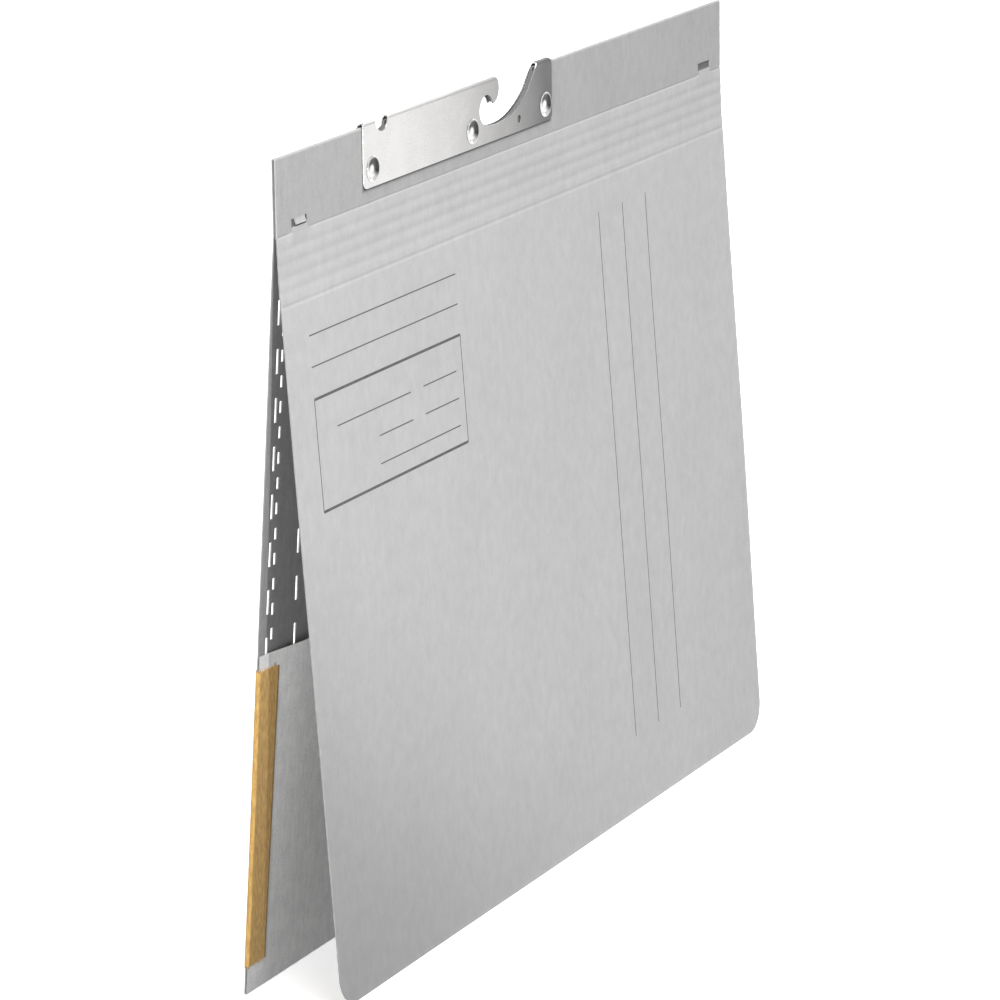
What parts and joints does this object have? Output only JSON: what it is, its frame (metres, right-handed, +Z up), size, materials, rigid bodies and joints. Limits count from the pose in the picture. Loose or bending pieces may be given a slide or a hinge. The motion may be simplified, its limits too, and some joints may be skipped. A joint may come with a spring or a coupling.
{
  "type": "hanging file folder",
  "caption": "Hanging pendulum file of grey card: scored front cover, slit back cover with taped pocket, riveted steel hook plate and an inner fastener for punched sheets.",
  "frame": {"origin": "middle of the footprint, on the surface that the two covers stand on", "axes": "+Z up to the hook plate, +X along the strip with the label slits at -X, front cover leaning to -Y"},
  "size_m": [0.3186, 0.0342, 0.2632],
  "materials": {
    "card": "uncoated grey file card",
    "stiff_card": "uncoated grey board",
    "plate_steel": "pressed, nickel plated, satin",
    "rivet_steel": "polished",
    "fastener_steel": "bright zinc",
    "linen_tape": "plain weave linen tape, ochre"
  },
  "bodies": {
    "strip": {"hanger_strip": "card", "front_margin": "card", "tongue_left": "card", "tongue_right": "card", "hook_plate": "plate_steel", "rivet_left": "rivet_steel", "rivet_middle": "rivet_steel", "rivet_right": "rivet_steel"},
    "spine": {"scored_spine": "card"},
    "front_cover": {"front_cover": "card"},
    "back_cover": {"back_cover": "card", "reinforcing_strip": "stiff_card", "prong_band": "fastener_steel", "cover_bar": "fastener_steel", "gusset_tape_left": "linen_tape", "gusset_tape_right": "linen_tape"},
    "pocket": {"pocket_panel": "card"},
    "slider_left": {"slider_left": "fastener_steel"},
    "slider_right": {"slider_right": "fastener_steel"}
  },
  "joints": [
    {"name": "front_seam_fold", "type": "hinge", "parent": "strip", "child": "spine", "pos_m": [0, -0.0003, 0.23783], "axis": [-1, 0, 0], "range_deg": [-0.8, 88]},
    {"name": "front_score_fold", "type": "hinge", "parent": "spine", "child": "front_cover", "pos_m": [0, -0.00175, 0.21703], "axis": [-1, 0, 0], "range_deg": [-5, 90]},
    {"name": "back_seam_fold", "type": "hinge", "parent": "strip", "child": "back_cover", "pos_m": [0, 0.0003, 0.23783], "axis": [1, 0, 0], "range_deg": [-0.8, 85]},
    {"name": "pocket_fold", "type": "hinge", "parent": "back_cover", "child": "pocket", "pos_m": [0, 0.0162, 0.00036], "axis": [1, 0, 0], "range_deg": [0, 6], "deforming": ["gusset_tape_left", "gusset_tape_right"]},
    {"name": "slider_left_lock", "type": "slide", "parent": "back_cover", "child": "slider_left", "axis": [1, 0, 0], "range_m": [0, 0.019]},
    {"name": "slider_right_lock", "type": "slide", "parent": "back_cover", "child": "slider_right", "axis": [-1, 0, 0], "range_m": [0, 0.019]}
  ]
}
